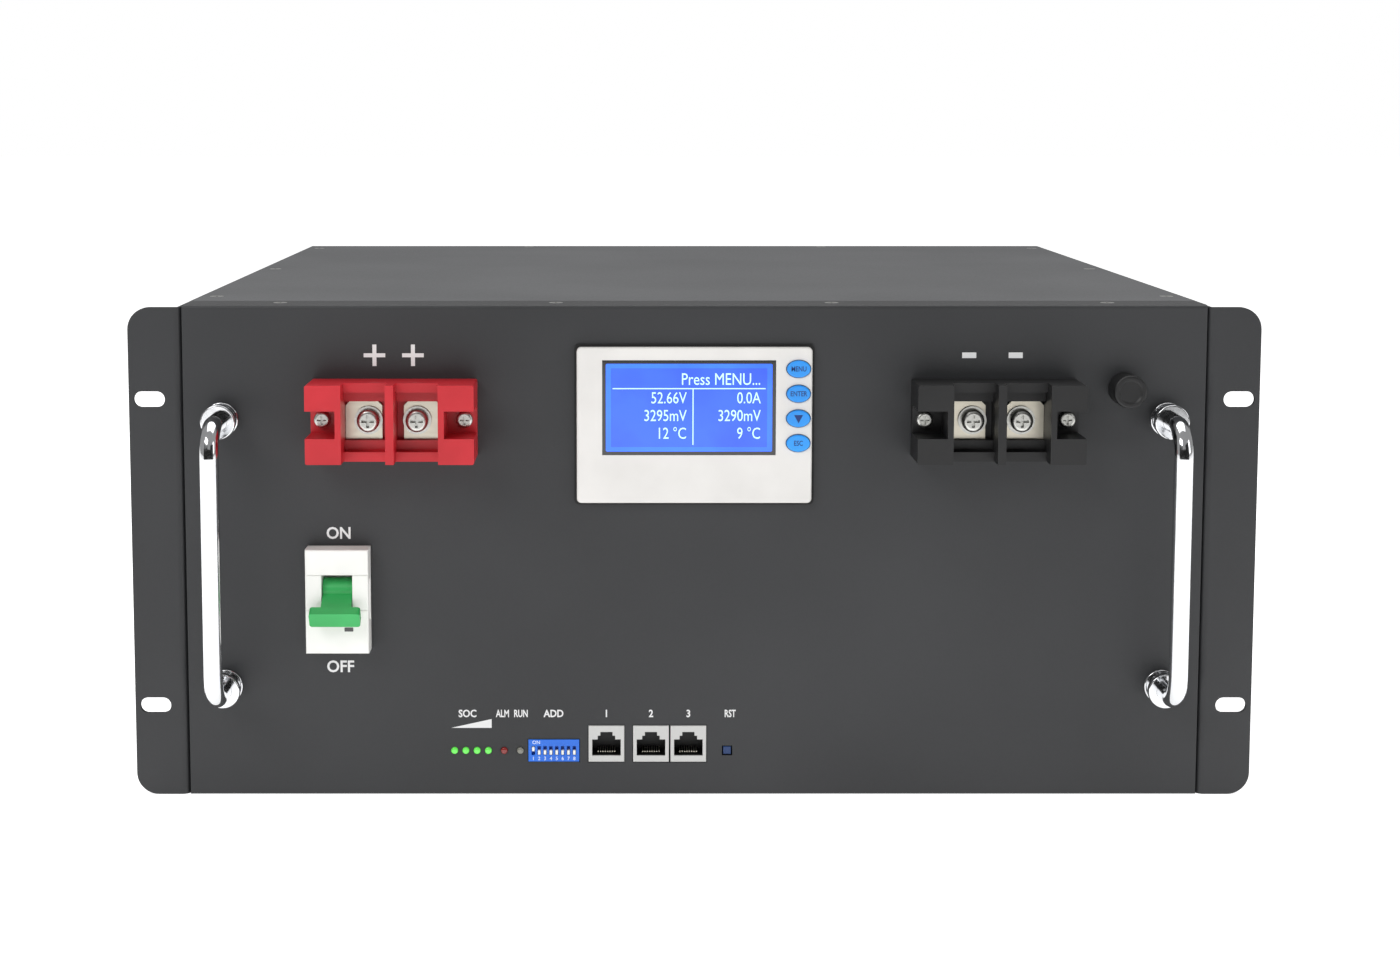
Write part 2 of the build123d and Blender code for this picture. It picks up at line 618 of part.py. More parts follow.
def data_socket(x, name):
    with BuildPart() as socket:
        with BuildSketch(front(socket_proud)):
            with Locations((x, socket_z)):
                Rectangle(socket_w, socket_h)
        extrude(amount=-(socket_proud + board_back))
        fillet(socket.faces().sort_by(Axis.Y)[0].edges(), 0.3)
        with BuildSketch(front(socket_proud)):
            with Locations((x, plug_floor_z)):
                for width, height in ((plug_w, plug_h), (plug_step_w, plug_step_top), (plug_latch_w, plug_latch_top)):
                    Rectangle(width, height, align=(Align.CENTER, Align.MIN))
        extrude(amount=-plug_depth, mode=Mode.SUBTRACT)
    save(socket.part, name)


for index, x in enumerate(socket_xs):
    data_socket(x, f"data_socket_{index + 1}")

wire_length = 8.0
with BuildPart() as socket_contacts:
    for x in socket_xs:
        for step in range(contact_count):
            wire_x = x + contact_pitch * (step - (contact_count - 1) / 2)
            with Locations((wire_x, front_y - socket_proud + plug_depth, plug_floor_z + 0.8)):
                Box(contact_wire, wire_length, contact_wire, align=(Align.CENTER, Align.MAX, Align.MIN))
save(socket_contacts.part, "socket_contacts")

reset_seat = 6.0              # switch front, behind the panel's front
reset_tail = 3.0
with BuildPart() as reset_switch:
    with BuildSketch(front(-reset_seat)):
        with Locations((reset_x, row_z)):
            Rectangle(reset_body, reset_body)
    extrude(amount=-(board_back - reset_seat))
    with BuildSketch(front(-reset_seat)):
        with Locations((reset_x, row_z)):
            Rectangle(reset_w + 2 * running_gap, reset_w + 2 * running_gap)
    extrude(amount=-(reset_tail + reset_travel + running_gap), mode=Mode.SUBTRACT)
with BuildPart() as reset_button:
    with BuildSketch(front(-reset_recess)):
        with Locations((reset_x, row_z)):
            Rectangle(reset_w, reset_w)
    extrude(amount=-(reset_seat + reset_tail - reset_recess))
    fillet(reset_button.faces().sort_by(Axis.Y)[0].edges(), 0.3)
save(reset_switch.part, "reset_switch")
save(reset_button.part, "reset_button")

board_low_x, board_high_x = soc_first_x - 8.0, reset_x + 8.0
board_post_points = [(x, row_z + z) for x in (board_low_x + 3.5, board_high_x - 3.5) for z in (-11.0, 16.0)]
with BuildPart() as interface_board:
    with BuildSketch(front(-board_back)):
        with Locations(((board_low_x + board_high_x) / 2, row_z + 2.5)):
            Rectangle(board_high_x - board_low_x, 34.0)
    extrude(amount=-board_t)
save(interface_board.part, "interface_board")

# ---------------------------------------------------------------- cells and power parts inside
cell_xs = [(i - (cells_across - 1) / 2) * (cell_x + cell_gap) for i in range(cells_across)]
cell_ys = [cells_front_y + cell_y / 2 + row * (cell_y + cell_gap) for row in range(cell_rows)]
cell_points = [(x, y) for y in cell_ys for x in cell_xs]
pole_offset = cell_y / 2 - 22.0

with BuildPart() as cell_mat:
    with BuildSketch(Plane.XY.offset(case_sheet)):
        with Locations((0, (cells_front_y + cells_rear_y) / 2)):
            Rectangle(cells_width, cells_rear_y - cells_front_y)
    extrude(amount=cell_pad)
save(cell_mat.part, "cell_mat")

with BuildPart() as battery_cells:
    with BuildSketch(Plane.XY.offset(cells_bottom_z)):
        with Locations(*cell_points):
            Rectangle(cell_x, cell_y)
    extrude(amount=cell_z)
    with BuildSketch(Plane.XY.offset(cells_top_z)):
        with Locations(*[(x, y + side * pole_offset) for x, y in cell_points for side in (-1, 1)]):
            Circle(8.0)
    extrude(amount=terminal_h)
save(battery_cells.part, "battery_cells")

with BuildPart() as cell_busbars:
    with BuildSketch(Plane.XY.offset(cells_top_z + terminal_h)):
        for y in cell_ys:
            for side in (-1, 1):
                first = 0 if side < 0 else 1
                for pair in range(first, cells_across - 1, 2):
                    with Locations(((cell_xs[pair] + cell_xs[pair + 1]) / 2, y + side * pole_offset)):
                        Rectangle(cell_x + busbar_w, busbar_w)
    extrude(amount=busbar_t)
save(cell_busbars.part, "cell_busbars")

with BuildPart() as end_plates:
    for side in (-1, 1):
        with Locations((side * (cells_width + end_plate) / 2, (cells_front_y + cells_rear_y) / 2, case_sheet)):
            Box(end_plate, cells_rear_y - cells_front_y, cell_z, align=(Align.CENTER, Align.CENTER, Align.MIN))
save(end_plates.part, "end_plates")

shelf_y = (cells_front_y + cells_rear_y) / 2
bms_post_points = [(x * (bms_w / 2 - 8), shelf_y + y * (bms_d / 2 - 8)) for x in (-1, 1) for y in (-1, 1)]
with BuildPart() as insulating_shelf:
    with BuildSketch(Plane.XY.offset(busbar_top_z)):
        with Locations((0, shelf_y)):
            Rectangle(cells_width, cells_rear_y - cells_front_y)
    extrude(amount=bms_shelf_t)
with BuildPart() as board_posts:
    with Locations(*[(x, y, busbar_top_z + bms_shelf_t) for x, y in bms_post_points]):
        Cylinder(3.5, bms_lift, align=(Align.CENTER, Align.CENTER, Align.MIN))
    with Locations(*[Plane((x, tray_front_y, z), z_dir=(0, 1, 0)) for x, z in board_post_points]):
        Cylinder(2.5, board_back - panel_sheet, align=(Align.CENTER, Align.CENTER, Align.MIN))
with BuildPart() as bms_board:
    with BuildSketch(Plane.XY.offset(bms_z)):
        with Locations((0, shelf_y)):
            Rectangle(bms_w, bms_d)
    extrude(amount=bms_t)
fin_t, fin_h, fin_count, sink_w, sink_base = 2.0, 18.0, 14, 220.0, 4.0
with BuildPart() as heat_sink:
    with BuildSketch(Plane.XY.offset(bms_z + bms_t)):
        with Locations((0, shelf_y)):
            Rectangle(sink_w, bms_d / 2)
    extrude(amount=sink_base + fin_h)
    fin_gap = (sink_w - fin_count * fin_t) / (fin_count - 1)
    with BuildSketch(Plane.XY.offset(bms_z + bms_t + sink_base)):
        with Locations((0, shelf_y)):
            with GridLocations(fin_gap + fin_t, 1, fin_count - 1, 1):
                Rectangle(fin_gap, bms_d / 2)
    extrude(amount=fin_h, mode=Mode.SUBTRACT)
for piece, name in ((insulating_shelf, "insulating_shelf"), (board_posts, "board_posts"), (bms_board, "bms_board"),
                    (heat_sink, "heat_sink")):
    save(piece.part, name)

lead_t, lead_w = 3.0, 20.0
lead_y = front_y + stud_length - block_floor
lead_top_z = block_z + stud_radius + 2.0
with BuildPart() as power_leads:
    with Locations((-block_x, lead_y, block_z)):
        Box(2 * contact_offset + 2 * stud_radius, lead_t, lead_w / 2 + 4, align=(Align.CENTER, Align.MIN, Align.CENTER))
    with Locations((breaker_x, lead_y, lead_top_z)):
        Box(lead_w, lead_t, lead_top_z - breaker_z - breaker_body_h / 2, align=(Align.CENTER, Align.MIN, Align.MAX))
    with Locations((breaker_x, lead_y, block_z)):
        Box(breaker_x * -1 - block_x, lead_t, lead_w / 2 + 4, align=(Align.MIN, Align.MIN, Align.CENTER))
    with Locations((block_x, lead_y, block_z)):
        Box(2 * contact_offset + 2 * stud_radius, lead_t, lead_w / 2 + 4, align=(Align.CENTER, Align.MIN, Align.CENTER))
    with Locations((block_x, lead_y, block_z)):
        Box(lead_w, lead_t, block_z - busbar_top_z - bms_shelf_t, align=(Align.CENTER, Align.MIN, Align.MAX))
    with Locations((block_x, lead_y, busbar_top_z + bms_shelf_t)):
        Box(lead_w, cells_front_y + 30.0 - lead_y, lead_t, align=(Align.CENTER, Align.MIN, Align.MIN))
save(power_leads.part, "power_leads")
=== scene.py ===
"""Rack battery module: finishes, markings, lit display and studio stage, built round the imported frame."""
import json
import math

import bmesh
import bpy
from mathutils import Matrix, Vector


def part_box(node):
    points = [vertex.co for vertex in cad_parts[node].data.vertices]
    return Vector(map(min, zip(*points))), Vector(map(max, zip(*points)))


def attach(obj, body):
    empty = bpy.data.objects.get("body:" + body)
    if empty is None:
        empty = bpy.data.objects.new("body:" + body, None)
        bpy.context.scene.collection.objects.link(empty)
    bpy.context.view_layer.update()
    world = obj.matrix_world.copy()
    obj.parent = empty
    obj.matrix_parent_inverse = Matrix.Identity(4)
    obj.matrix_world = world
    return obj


bl_info = {
    "name": "Rack battery finish",
    "version": (1, 0, 0),
    "blender": (4, 5, 0),
    "location": "View3D > Sidebar > Battery",
    "description": "Finishes, markings and stage for a rack battery module",
    "category": "Add Mesh",
}

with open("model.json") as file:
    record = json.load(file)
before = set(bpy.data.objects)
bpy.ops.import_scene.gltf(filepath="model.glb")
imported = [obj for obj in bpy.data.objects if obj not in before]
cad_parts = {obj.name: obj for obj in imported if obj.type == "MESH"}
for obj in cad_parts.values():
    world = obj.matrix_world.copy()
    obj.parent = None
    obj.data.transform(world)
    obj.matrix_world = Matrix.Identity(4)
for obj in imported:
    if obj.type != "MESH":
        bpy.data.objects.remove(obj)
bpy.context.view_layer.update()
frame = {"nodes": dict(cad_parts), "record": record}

MM = 0.001
PRINT_THICKNESS = 0.04 * MM
PRINT_LIFT = 0.01 * MM
PANEL_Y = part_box("front_panel")[0].y
PLUS_OFFSETS = (-8.5 * MM, 7.9 * MM)      # from the positive block's middle
MINUS_OFFSETS = (-10.7 * MM, 9.1 * MM)    # from the negative block's middle
ON_Z, OFF_Z = 114.7 * MM, 56.3 * MM
WEDGE_FOOT_Z, WEDGE_RISE = 29.4 * MM, 3.9 * MM
AMBIENT_LEVEL, BACKDROP_LEVEL = 0.36, 1.0
FLOOR_GLOW = 0.7
PROMPT_RISE, PROMPT_HEIGHT = 12.0 * MM, 5.0 * MM
READING_HEIGHT, KEY_WORD_HEIGHT = 4.8 * MM, 2.1 * MM
ARROW_HALF, ARROW_TOP, ARROW_TIP = 1.9 * MM, 1.6 * MM, 1.9 * MM


# ---------------------------------------------------------------- small tools
def linear(code, alpha=1.0):
    """sRGB hex such as '4A4B4D' to a linear RGBA colour."""
    channels = [int(code[i:i + 2], 16) / 255 for i in (0, 2, 4)]
    return tuple(c / 12.92 if c <= 0.04045 else ((c + 0.055) / 1.055) ** 2.4 for c in channels) + (alpha,)


def add_node(tree, kind, settings=None, **links):
    """Adds a node; settings are its properties, links its sockets: a value, or an output socket."""
    node = tree.nodes.new(kind)
    for name, value in (settings or {}).items():
        setattr(node, name, value)
    for name, value in links.items():
        socket = node.inputs[int(name[1:])] if name[0] == "i" and name[1:].isdigit() else node.inputs[name]
        if isinstance(value, bpy.types.NodeSocket):
            tree.links.new(value, socket)
        else:
            socket.default_value = value
    return node


def material(name, code, metallic=0.0, roughness=0.5, ior=None, coat=0.0):
    """A named material with its shader's uniform values on the shader's own sockets."""
    made = bpy.data.materials.new(name)
    made.use_nodes = True
    shader = made.node_tree.nodes["Principled BSDF"]
    shader.inputs["Base Color"].default_value = linear(code)
    shader.inputs["Metallic"].default_value = metallic
    shader.inputs["Roughness"].default_value = roughness
    shader.inputs["Coat Weight"].default_value = coat
    if ior:
        shader.inputs["IOR"].default_value = ior
    return made, made.node_tree, shader


def object_position(tree):
    return add_node(tree, "ShaderNodeTexCoord").outputs["Object"]


def blotch(tree, shader, low, high, scale):
    """Slow colour variation between two sRGB colours; scale is cycles to the metre."""
    noise = add_node(tree, "ShaderNodeTexNoise", Vector=object_position(tree), Scale=scale, Detail=3.0)
    ramp = add_node(tree, "ShaderNodeValToRGB", i0=noise.outputs["Fac"])
    ramp.color_ramp.elements[0].position, ramp.color_ramp.elements[1].position = 0.35, 0.65
    ramp.color_ramp.elements[0].color, ramp.color_ramp.elements[1].color = linear(low), linear(high)
    tree.links.new(ramp.outputs["Color"], shader.inputs["Base Color"])


def grain(tree, shader, scale, depth, strength=1.0, stretch=None, detail=2.0):
    """Fine relief from noise: scale is cycles to the metre, depth is in metres."""
    place = object_position(tree)
    if stretch:
        place = add_node(tree, "ShaderNodeMapping", Vector=place, Scale=stretch).outputs["Vector"]
    noise = add_node(tree, "ShaderNodeTexNoise", Vector=place, Scale=scale, Detail=detail)
    bump = add_node(tree, "ShaderNodeBump", Height=noise.outputs["Fac"], Distance=depth, Strength=strength)
    tree.links.new(bump.outputs["Normal"], shader.inputs["Normal"])
    return noise


def rough_range(tree, shader, source, low, high):
    """Roughness that follows a pattern between two values."""
    spread = add_node(tree, "ShaderNodeMapRange", Value=source, **{"To Min": low, "To Max": high})
    tree.links.new(spread.outputs["Result"], shader.inputs["Roughness"])


# ---------------------------------------------------------------- finishes
def powder_coat(name, low, high):
    """Sheet steel, polyester powder coat, fine texture: a soft broad sheen broken by a 0.7 mm orange peel."""
    made, tree, shader = material(name, low, roughness=0.5)
    blotch(tree, shader, low, high, 9.0)
    noise = grain(tree, shader, 1400.0, 0.00006, 0.55)
    rough_range(tree, shader, noise.outputs["Fac"], 0.42, 0.6)
    return made


def zinc_plate(name):
    """Bright, slightly clouded metal: zinc-plated fasteners and mill-finish aluminium."""
    made, tree, shader = material(name, "C9C9C4", metallic=1.0, roughness=0.28)
    noise = grain(tree, shader, 900.0, 0.00003, 0.4)
    rough_range(tree, shader, noise.outputs["Fac"], 0.2, 0.42)
    return made


def chrome_plate(name):
    """Polished steel under decorative chrome: mirror-like, with faint polishing haze."""
    made, tree, shader = material(name, "DADBDD", metallic=1.0, roughness=0.08)
    noise = grain(tree, shader, 250.0, 0.00001, 0.2)
    rough_range(tree, shader, noise.outputs["Fac"], 0.05, 0.16)
    return made


def nickel_plate(name):
    """Nickel-plated brass busbar: warm white metal, brushed along X."""
    made, tree, shader = material(name, "D8D2C2", metallic=1.0, roughness=0.3)
    noise = grain(tree, shader, 600.0, 0.00003, 0.5, stretch=(0.08, 1.0, 1.0))
    rough_range(tree, shader, noise.outputs["Fac"], 0.22, 0.45)
    return made


def moulded(name, low, high, roughness=0.42, coat=0.0):
    """Injection-moulded plastic: even colour with slow flow shade and a fine spark-eroded texture."""
    made, tree, shader = material(name, low, roughness=roughness, ior=1.5, coat=coat)
    blotch(tree, shader, low, high, 40.0)
    noise = grain(tree, shader, 2200.0, 0.00003, 0.35)
    rough_range(tree, shader, noise.outputs["Fac"], roughness - 0.06, roughness + 0.08)
    return made


def lamp(name, code, glow):
    """Epoxy lens of a light-emitting diode, coloured through and slightly lit from within."""
    made, tree, shader = material(name, code, roughness=0.12, ior=1.54, coat=0.5)
    noise = grain(tree, shader, 500.0, 0.00002, 0.15)
    rough_range(tree, shader, noise.outputs["Fac"], 0.08, 0.2)
    shader.inputs["Emission Color"].default_value = linear(code)
    shader.inputs["Emission Strength"].default_value = glow
    return made


def backlit(name, low, high, strength):
    """Blue liquid-crystal backlight seen through its polariser, a little uneven."""
    made, tree, shader = material(name, low, roughness=0.2, coat=0.6)
    blotch(tree, shader, low, high, 30.0)
    shader.inputs["Emission Color"].default_value = linear(high)
    shader.inputs["Emission Strength"].default_value = strength
    return made


def ink(name, code, strength=0.0):
    """Screen-printed ink, matt, with a slightly uneven film."""
    made, tree, shader = material(name, code, roughness=0.55)
    noise = grain(tree, shader, 1800.0, 0.00001, 0.2)
    rough_range(tree, shader, noise.outputs["Fac"], 0.45, 0.65)
    if strength:
        shader.inputs["Emission Color"].default_value = linear(code)
        shader.inputs["Emission Strength"].default_value = strength
    return made


def glazing(name):
    """Black-bordered acrylic display window: dark, glossy, hard coated."""
    made, tree, shader = material(name, "050608", roughness=0.08, ior=1.49, coat=0.8)
    noise = grain(tree, shader, 300.0, 0.000004, 0.1)
    rough_range(tree, shader, noise.outputs["Fac"], 0.05, 0.12)
    return made


def socket_resin(name):
    """Grey PBT socket shell: pale at the rim, with painted shade in the mouth that darkens it to near black
    0.8 mm in.
    """
    made, tree, shader = material(name, "BEBEBC", roughness=0.45, ior=1.5)
    noise = grain(tree, shader, 2200.0, 0.00003, 0.35)
    rough_range(tree, shader, noise.outputs["Fac"], 0.38, 0.52)
    # Painted shade: the colour darkens from the rim to near black with depth into the socket mouth.
    depth = add_node(tree, "ShaderNodeSeparateXYZ", Vector=object_position(tree)).outputs["Y"]
    mouth_shade_ramp = add_node(tree, "ShaderNodeMapRange", Value=depth,
                      **{"From Min": PANEL_Y + 0.3 * MM, "From Max": PANEL_Y + 0.8 * MM})
    mouth_shade_blend = add_node(tree, "ShaderNodeMix", {"data_type": "RGBA"}, Factor=mouth_shade_ramp.outputs["Result"],
                     i6=linear("BEBEBC"), i7=linear("0C0C0D"))
    tree.links.new(mouth_shade_blend.outputs[2], shader.inputs["Base Color"])
    return made


FINISH_OF_SLOT = {
    "powder_coat": lambda: powder_coat("charcoal powder coat", "252628", "2B2C2E"),
    "cover_coat": lambda: powder_coat("cover powder coat", "4A4B4D", "525355"),
    "zinc": lambda: zinc_plate("zinc-plated steel"),
    "chrome": lambda: chrome_plate("decorative chrome"),
    "black_plastic": lambda: moulded("black glass-filled nylon", "0E0E0F", "151516", 0.45),
    "red_plastic": lambda: moulded("red glass-filled nylon", "B0131F", "BE1A27", 0.4),
    "plated_brass": lambda: nickel_plate("nickel-plated brass"),
    "white_plastic": lambda: moulded("white ABS", "E4E4E0", "ECECE8", 0.38),
    "green_plastic": lambda: moulded("green ABS", "2A9C4F", "31A858", 0.35),
    "rubber": lambda: moulded("black nitrile rubber", "0B0B0B", "121212", 0.7),
    "grey_plastic": lambda: moulded("light grey ABS", "CFCDCA", "D6D4D1", 0.4),
    "glass": lambda: glazing("display acrylic"),
    "circuit_board": lambda: moulded("green solder resist", "0F4A2A", "145A34", 0.35, 0.3),
    "blue_key": lambda: moulded("blue silicone key", "0E86DC", "1590E6", 0.35, 0.3),
    "green_led": lambda: lamp("green lens", "5BCB4A", 0.45),
    "red_led": lambda: lamp("red lens", "7A1713", 0.1),
    "clear_led": lambda: lamp("clear lens", "77776E", 0.0),
    "blue_plastic": lambda: moulded("blue switch resin", "1B62CC", "216CD8", 0.4),
    "socket_plastic": lambda: socket_resin("grey socket PBT with painted mouth shade"),
    "cell_case": lambda: moulded("blue cell sleeve", "1C4FA0", "245AAE", 0.3),
    "cast_plate": lambda: zinc_plate("mill-finish aluminium"),
}


# ---------------------------------------------------------------- pieces
def keep(mesh, name, finish, body="root"):
    """Links a finished mesh as a piece that rides on a body."""
    piece = bpy.data.objects.new(name, mesh)
    bpy.context.scene.collection.objects.link(piece)
    mesh.materials.clear()
    mesh.materials.append(finish)
    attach(piece, body)
    return piece


def facing_front(x, y, z):
    """Turns a mesh from the XY plane to face -Y, at a place given in metres."""
    return Matrix.Translation((x, y, z)) @ Matrix.Rotation(math.pi / 2, 4, "X")


def word(name, text, x, y, z, cap_height, finish, body="root", align="CENTER", stretch=1.0, weight=0.02):
    """Printed lettering, centred on z, lying on the surface at depth y; weight thickens the strokes."""
    curve = bpy.data.curves.new(name, "FONT")
    curve.body = text
    curve.align_x = align
    curve.align_y = "CENTER"
    curve.size = cap_height / 0.69
    curve.resolution_u = 3
    curve.extrude = PRINT_THICKNESS / 2
    curve.offset = weight * cap_height
    carrier = bpy.data.objects.new(name + "_text", curve)
    bpy.context.scene.collection.objects.link(carrier)
    bpy.context.view_layer.update()
    mesh = bpy.data.meshes.new_from_object(carrier)
    bpy.data.objects.remove(carrier)
    mesh.transform(Matrix.Diagonal((stretch, 1, 1, 1)))
    mesh.transform(facing_front(x, y - PRINT_THICKNESS / 2 - PRINT_LIFT, z))
    return keep(mesh, name, finish, body)


def tile(name, x, y, z, width, height, finish, body="root", thickness=PRINT_THICKNESS, corner=0.0):
    """A thin plate that faces -Y, lying on the surface at depth y."""
    bm = bmesh.new()
    bmesh.ops.create_cube(bm, size=1.0)
    bmesh.ops.scale(bm, vec=(width, height, thickness), verts=bm.verts)
    if corner:
        upright = [e for e in bm.edges if abs(e.verts[0].co.z - e.verts[1].co.z) > thickness / 2]
        bmesh.ops.bevel(bm, geom=upright, offset=corner, segments=6, profile=0.5, affect="EDGES", material=-1)
    bmesh.ops.transform(bm, matrix=facing_front(x, y - thickness / 2 - PRINT_LIFT, z), verts=bm.verts)
    mesh = bpy.data.meshes.new(name)
    bm.to_mesh(mesh)
    bm.free()
    return keep(mesh, name, finish, body)


def wedge(name, points, y, finish, body="root"):
    """A thin flat shape with straight sides, facing -Y; points are X and Z in metres."""
    bm = bmesh.new()
    corners = [bm.verts.new((x, y - PRINT_LIFT, z)) for x, z in points]
    face = bm.faces.new(corners)
    grown = bmesh.ops.extrude_face_region(bm, geom=[face])
    moved = [v for v in grown["geom"] if isinstance(v, bmesh.types.BMVert)]
    bmesh.ops.translate(bm, verts=moved, vec=(0, -PRINT_THICKNESS, 0))
    bmesh.ops.recalc_face_normals(bm, faces=bm.faces)
    mesh = bpy.data.meshes.new(name)
    bm.to_mesh(mesh)
    bm.free()
    return keep(mesh, name, finish, body)


def middle(node):
    low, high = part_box(node)
    return (low + high) / 2


# ---------------------------------------------------------------- sizes a user may change
class BatteryMarkings(bpy.types.PropertyGroup):
    label_height: bpy.props.FloatProperty(
        name="Label height", description="Capital height of the row labels", default=3.1 * MM, unit="LENGTH")
    breaker_label_height: bpy.props.FloatProperty(
        name="Breaker label height", description="Capital height of ON and OFF",
        default=4.9 * MM, unit="LENGTH")
    label_row: bpy.props.FloatProperty(
        name="Label row", description="Height of the row labels above the rest face", default=35.6 * MM,
        unit="LENGTH")
    sign_z: bpy.props.FloatProperty(
        name="Sign height", description="Height of the plus and minus signs",
        default=191.7 * MM, unit="LENGTH")


class BatteryStage(bpy.types.PropertyGroup):
    lens: bpy.props.FloatProperty(name="Lens", description="Camera focal length in mm", default=60.0)
    pitch: bpy.props.FloatProperty(
        name="Pitch", description="Camera tilt below level", default=math.radians(6.0), subtype="ANGLE")
    distance: bpy.props.FloatProperty(
        name="Distance", description="Camera to front panel", default=0.988, unit="LENGTH")
    eye_x: bpy.props.FloatProperty(
        name="Eye X", description="Camera place along X", default=-0.0286, unit="LENGTH")
    eye_z: bpy.props.FloatProperty(name="Eye Z", description="Camera height", default=0.2978, unit="LENGTH")


class BATTERY_OT_finishes(bpy.types.Operator):
    """Give every carried node the finish of its record slot"""
    bl_idname = "battery.finishes"
    bl_label = "Finishes"

    def execute(self, context):
        made = {slot: build() for slot, build in FINISH_OF_SLOT.items()}
        for part in frame["record"]["subparts"]:
            mesh = frame["nodes"][part["node"]].data
            mesh.materials.clear()
            mesh.materials.append(made[part["material_slot"]])
        reset = frame["nodes"]["reset_button"].data
        reset.materials.clear()
        reset.materials.append(moulded("navy reset resin", "10305F", "143A70", 0.4))
        return {"FINISHED"}


class BATTERY_OT_panel_print(bpy.types.Operator):
    """Print the signs and labels on the front panel"""
    bl_idname = "battery.panel_print"
    bl_label = "Panel print"

    def execute(self, context):
        sizes = context.scene.battery_markings
        white = ink("white screen ink", "DADADA")
        left, right = middle("positive_block").x, middle("negative_block").x
        bar, arm = 1.7 * MM, 9.2 * MM
        for index, x in enumerate(left + offset for offset in PLUS_OFFSETS):
            tile(f"plus_{index}_bar", x, PANEL_Y, sizes.sign_z, arm, bar, white)
            for way in (-1, 1):
                reach = (arm - bar) / 2
                tile(f"plus_{index}_arm_{way + 1}", x, PANEL_Y, sizes.sign_z + way * (bar + reach) / 2,
                     bar, reach, white)
        for index, x in enumerate(right + offset for offset in MINUS_OFFSETS):
            tile(f"minus_{index}", x, PANEL_Y, sizes.sign_z, 6.0 * MM, 2.4 * MM, white)
        breaker = middle("breaker_housing")
        word("label_on", "ON", breaker.x, PANEL_Y, ON_Z, sizes.breaker_label_height, white, stretch=0.95,
                 weight=0.03)
        word("label_off", "OFF", breaker.x, PANEL_Y, OFF_Z, sizes.breaker_label_height, white, stretch=0.95,
                 weight=0.03)
        row = sizes.label_row
        soc = middle("soc_leds").x
        labels = (("SOC", soc - 1.6 * MM), ("ALM", middle("alarm_led").x - 0.6 * MM),
                  ("RUN", middle("run_led").x + 0.3 * MM), ("ADD", middle("switch_body").x),
                  ("1", middle("data_socket_1").x), ("2", middle("data_socket_2").x),
                  ("3", middle("data_socket_3").x), ("RST", middle("reset_button").x + 1.2 * MM))
        for text, x in labels:
            squeeze = 0.66 if text in ("ALM", "RUN", "RST") else 0.88
            word(f"label_{text.lower()}", text, x, PANEL_Y, row, sizes.label_height, white, stretch=squeeze,
                 weight=0.035)
        start, end = (corner.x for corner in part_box("soc_leds"))
        wedge("charge_wedge", [(start, WEDGE_FOOT_Z), (end, WEDGE_FOOT_Z), (end, WEDGE_FOOT_Z + WEDGE_RISE)],
              PANEL_Y, white)
        return {"FINISHED"}


class BATTERY_OT_display(bpy.types.Operator):
    """Lay the lit field and its readings on the display window"""
    bl_idname = "battery.display"
    bl_label = "Display"

    def execute(self, context):
        low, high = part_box("display_glass")
        x, z, y = (low.x + high.x) / 2, (low.z + high.z) / 2, low.y
        lit = backlit("blue backlight", "0A2CA8", "1F50F5", 0.8)
        rim = backlit("backlight rim", "0B46C8", "2468F8", 0.7)
        text = ink("display segments", "A9CCFF", 0.75)
        tile("display_rim", x, y, z, 70.8 * MM, 37.6 * MM, rim, corner=0.6 * MM)
        surface = y - PRINT_THICKNESS - PRINT_LIFT
        tile("display_field", x, surface, z, 66.4 * MM, 33.8 * MM, lit)
        surface -= PRINT_THICKNESS + PRINT_LIFT
        line = 0.45 * MM
        right_edge = x + 30.5 * MM
        tile("display_rule", x, surface, z + 8.2 * MM, 65.0 * MM, line, text)
        tile("display_divider", x + 1.7 * MM, surface, z - 4.0 * MM, line, 23.9 * MM, text)
        word("reading_prompt", "Press MENU...", right_edge, surface, z + PROMPT_RISE, PROMPT_HEIGHT,
             text, align="RIGHT", stretch=0.8, weight=0.0)
        for index, (left_text, right_text) in enumerate((("52.66V", "0.0A"), ("3295mV", "3290mV"),
                                                         ("12 °C", "9 °C"))):
            height = z + (4.0 - 7.6 * index) * MM
            word(f"reading_left_{index}", left_text, x - 1.0 * MM, surface, height, READING_HEIGHT,
                 text, align="RIGHT", stretch=0.78, weight=0.0)
            word(f"reading_right_{index}", right_text, right_edge, surface, height, READING_HEIGHT,
                 text, align="RIGHT", stretch=0.78, weight=0.0)
        return {"FINISHED"}


class BATTERY_OT_key_print(bpy.types.Operator):
    """Print the words and arrow on the four display keys"""
    bl_idname = "battery.key_print"
    bl_label = "Key print"

    def execute(self, context):
        navy = ink("navy key ink", "0A2F6E")
        for key, text in (("key_menu", "MENU"), ("key_enter", "ENTER"), ("key_escape", "ESC")):
            word(f"{key}_word", text, middle(key).x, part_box(key)[0].y, middle(key).z, KEY_WORD_HEIGHT,
                 navy, body=key, stretch=0.78)
        x, z = middle("key_down").x, middle("key_down").z
        arrow = [(x - ARROW_HALF, z + ARROW_TOP), (x, z - ARROW_TIP), (x + ARROW_HALF, z + ARROW_TOP)]
        wedge("key_down_arrow", arrow,
              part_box("key_down")[0].y, navy, body="key_down")
        return {"FINISHED"}


class BATTERY_OT_switch_print(bpy.types.Operator):
    """Print ON and the eight numerals on the address switch"""
    bl_idname = "battery.switch_print"
    bl_label = "Switch print"

    def execute(self, context):
        pale = ink("pale switch ink", "C9D6F0")
        low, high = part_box("switch_body")
        word("switch_on", "ON", low.x + 3.4 * MM, low.y, high.z - 1.3 * MM, 1.5 * MM, pale)
        for number in range(1, 9):
            x = middle(f"slider_{number}").x
            word(f"switch_numeral_{number}", str(number), x, low.y, low.z + 1.3 * MM, 1.5 * MM, pale)
        return {"FINISHED"}


